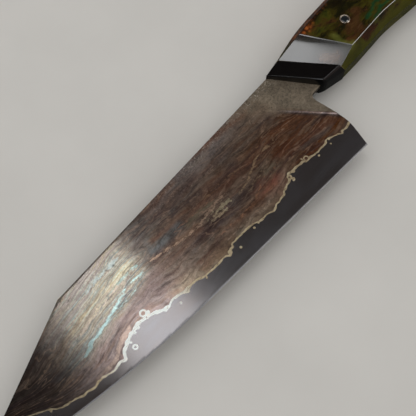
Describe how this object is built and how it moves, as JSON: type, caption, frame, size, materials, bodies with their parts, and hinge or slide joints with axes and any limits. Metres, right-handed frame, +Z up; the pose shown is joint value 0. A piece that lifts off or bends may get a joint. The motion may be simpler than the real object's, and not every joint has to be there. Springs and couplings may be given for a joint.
{
  "type": "chef knife",
  "caption": "Chef's knife with an angled tip: laminated steel blade with a wavy shim line, gloss black bolster and an eight-sided burl and resin handle on a hidden tang.",
  "frame": {"origin": "on the right-hand flat of the handle, on the axis of the handle pin; the knife lies on this flat", "axes": "+X from the handle towards the tip, +Y from the spine towards the cutting edge, +Z up, out of the left-hand side of the blade"},
  "size_m": [0.3372, 0.0592, 0.0196],
  "materials": {
    "core_steel": "etched dark, satin, with a polished cutting bevel",
    "shim_metal": "bright warm silver, raised slightly by the etch",
    "cladding_steel": "etched flowing grain in brown, mauve and grey, with forge-black texture near the spine and neck",
    "bolster_black": "polished black horn-like composite",
    "handle_burl": "stabilised burl with green and olive resin, polished to a deep gloss",
    "epoxy": "cured adhesive, hidden",
    "pin_metal": "warm silver tube ground flush",
    "pin_fill": "dark gloss resin"
  },
  "bodies": {
    "root": {"blade_core": "core_steel", "shim_left": "shim_metal", "shim_right": "shim_metal", "cladding_left": "cladding_steel", "cladding_right": "cladding_steel", "bolster": "bolster_black", "handle_block": "handle_burl", "tang_epoxy": "epoxy", "pin_tube": "pin_metal", "pin_core": "pin_fill"}
  },
  "joints": []
}
